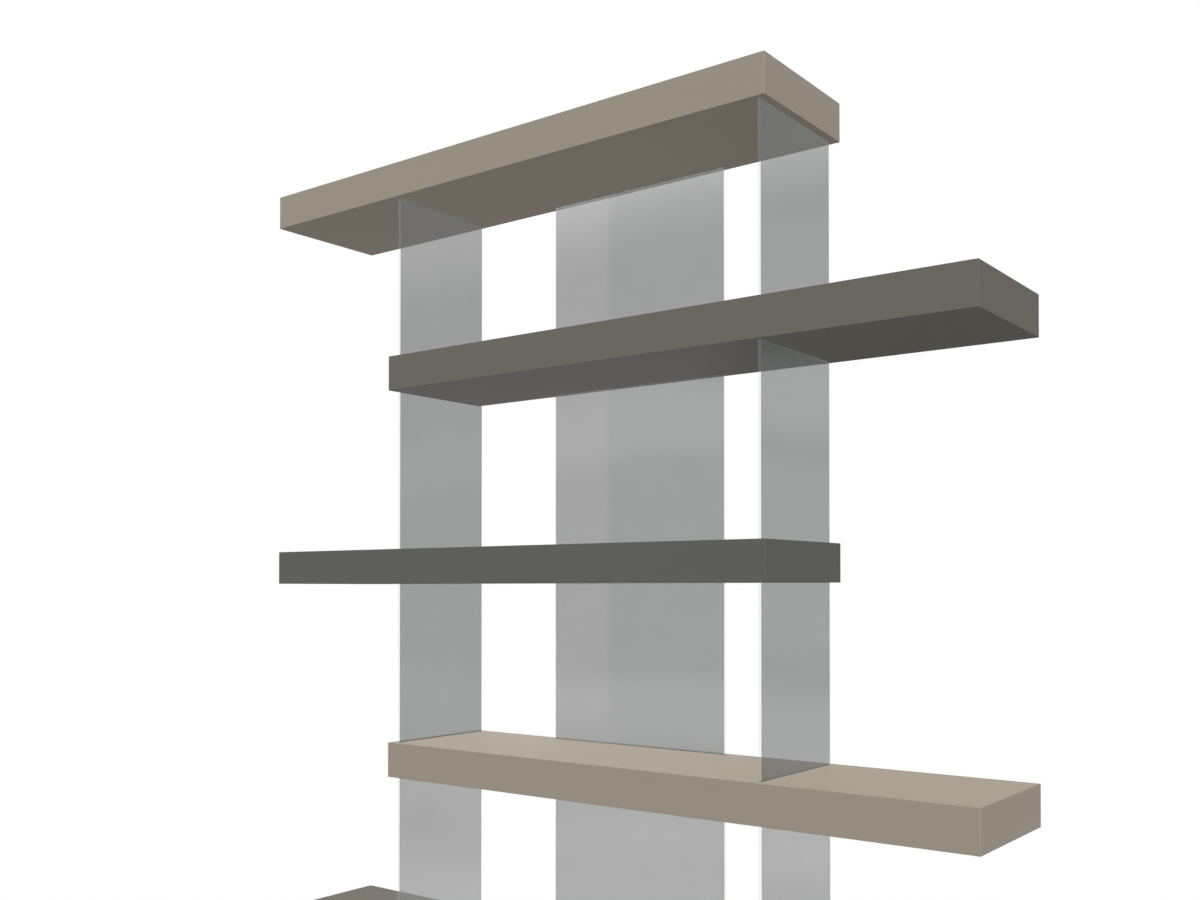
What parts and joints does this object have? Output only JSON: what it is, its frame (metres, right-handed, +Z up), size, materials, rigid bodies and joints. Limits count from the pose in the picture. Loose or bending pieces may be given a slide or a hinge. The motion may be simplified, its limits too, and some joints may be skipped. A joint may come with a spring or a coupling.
{
  "type": "bookcase",
  "caption": "Staggered bookcase: thick lacquered box shelves stepping left and right, carried on upright grey glass panes, on levelling feet.",
  "frame": {"origin": "on the floor, under the middle of the whole width and depth", "axes": "+X to the viewer's right along the shelves, +Y from the front to the back, +Z up"},
  "size_m": [1.8, 0.31, 1.89],
  "materials": {
    "light_taupe_lacquer": "satin lacquer on a folded fibreboard shelf, light taupe",
    "dark_umber_lacquer": "satin lacquer on a folded fibreboard shelf, dark warm grey",
    "graphite_lacquer": "satin lacquer on a folded fibreboard shelf, graphite",
    "core_board": "sawn poplar, unfinished, inside the shelves",
    "aluminium_extrusion": "extruded, natural anodised",
    "zinc_plated_steel": "turned steel, bright zinc plated",
    "grey_glass": "6 mm toughened grey glass, ground and polished edges"
  },
  "bodies": {
    "bookcase": {"shelf_1_sleeve": "light_taupe_lacquer", "shelf_1_end_cap_left": "light_taupe_lacquer", "shelf_1_end_cap_right": "light_taupe_lacquer", "shelf_1_core": "core_board", "shelf_1_channel_left": "aluminium_extrusion", "shelf_1_channel_right": "aluminium_extrusion", "shelf_1_channel_centre": "aluminium_extrusion", "shelf_2_sleeve": "dark_umber_lacquer", "shelf_2_end_cap_left": "dark_umber_lacquer", "shelf_2_end_cap_right": "dark_umber_lacquer", "shelf_2_core": "core_board", "shelf_2_channel_left": "aluminium_extrusion", "shelf_2_channel_right": "aluminium_extrusion", "shelf_2_channel_centre": "aluminium_extrusion", "shelf_3_sleeve": "graphite_lacquer", "shelf_3_end_cap_left": "graphite_lacquer", "shelf_3_end_cap_right": "graphite_lacquer", "shelf_3_core": "core_board", "shelf_3_channel_left": "aluminium_extrusion", "shelf_3_channel_right": "aluminium_extrusion", "shelf_3_channel_centre": "aluminium_extrusion", "shelf_4_sleeve": "light_taupe_lacquer", "shelf_4_end_cap_left": "light_taupe_lacquer", "shelf_4_end_cap_right": "light_taupe_lacquer", "shelf_4_core": "core_board", "shelf_4_channel_left": "aluminium_extrusion", "shelf_4_channel_right": "aluminium_extrusion", "shelf_4_channel_centre": "aluminium_extrusion", "shelf_5_sleeve": "dark_umber_lacquer", "shelf_5_end_cap_left": "dark_umber_lacquer", "shelf_5_end_cap_right": "dark_umber_lacquer", "shelf_5_core": "core_board", "shelf_5_channel_left": "aluminium_extrusion", "shelf_5_channel_right": "aluminium_extrusion", "shelf_5_channel_centre": "aluminium_extrusion", "pane_1_left": "grey_glass", "pane_1_right": "grey_glass", "pane_1_centre": "grey_glass", "pane_2_left": "grey_glass", "pane_2_right": "grey_glass", "pane_2_centre": "grey_glass", "pane_3_left": "grey_glass", "pane_3_right": "grey_glass", "pane_3_centre": "grey_glass", "pane_4_left": "grey_glass", "pane_4_right": "grey_glass", "pane_4_centre": "grey_glass", "foot_socket_front_1": "zinc_plated_steel", "foot_socket_front_2": "zinc_plated_steel", "foot_socket_front_3": "zinc_plated_steel", "foot_socket_back_1": "zinc_plated_steel", "foot_socket_back_2": "zinc_plated_steel", "foot_socket_back_3": "zinc_plated_steel"},
    "foot_front_1": {"foot_front_1": "zinc_plated_steel"},
    "foot_front_2": {"foot_front_2": "zinc_plated_steel"},
    "foot_front_3": {"foot_front_3": "zinc_plated_steel"},
    "foot_back_1": {"foot_back_1": "zinc_plated_steel"},
    "foot_back_2": {"foot_back_2": "zinc_plated_steel"},
    "foot_back_3": {"foot_back_3": "zinc_plated_steel"}
  },
  "joints": [
    {"name": "foot_front_1_height", "type": "slide", "parent": "bookcase", "child": "foot_front_1", "axis": [0, 0, -1], "range_m": [0, 0.015]},
    {"name": "foot_front_2_height", "type": "slide", "parent": "bookcase", "child": "foot_front_2", "axis": [0, 0, -1], "range_m": [0, 0.015]},
    {"name": "foot_front_3_height", "type": "slide", "parent": "bookcase", "child": "foot_front_3", "axis": [0, 0, -1], "range_m": [0, 0.015]},
    {"name": "foot_back_1_height", "type": "slide", "parent": "bookcase", "child": "foot_back_1", "axis": [0, 0, -1], "range_m": [0, 0.015]},
    {"name": "foot_back_2_height", "type": "slide", "parent": "bookcase", "child": "foot_back_2", "axis": [0, 0, -1], "range_m": [0, 0.015]},
    {"name": "foot_back_3_height", "type": "slide", "parent": "bookcase", "child": "foot_back_3", "axis": [0, 0, -1], "range_m": [0, 0.015]}
  ]
}
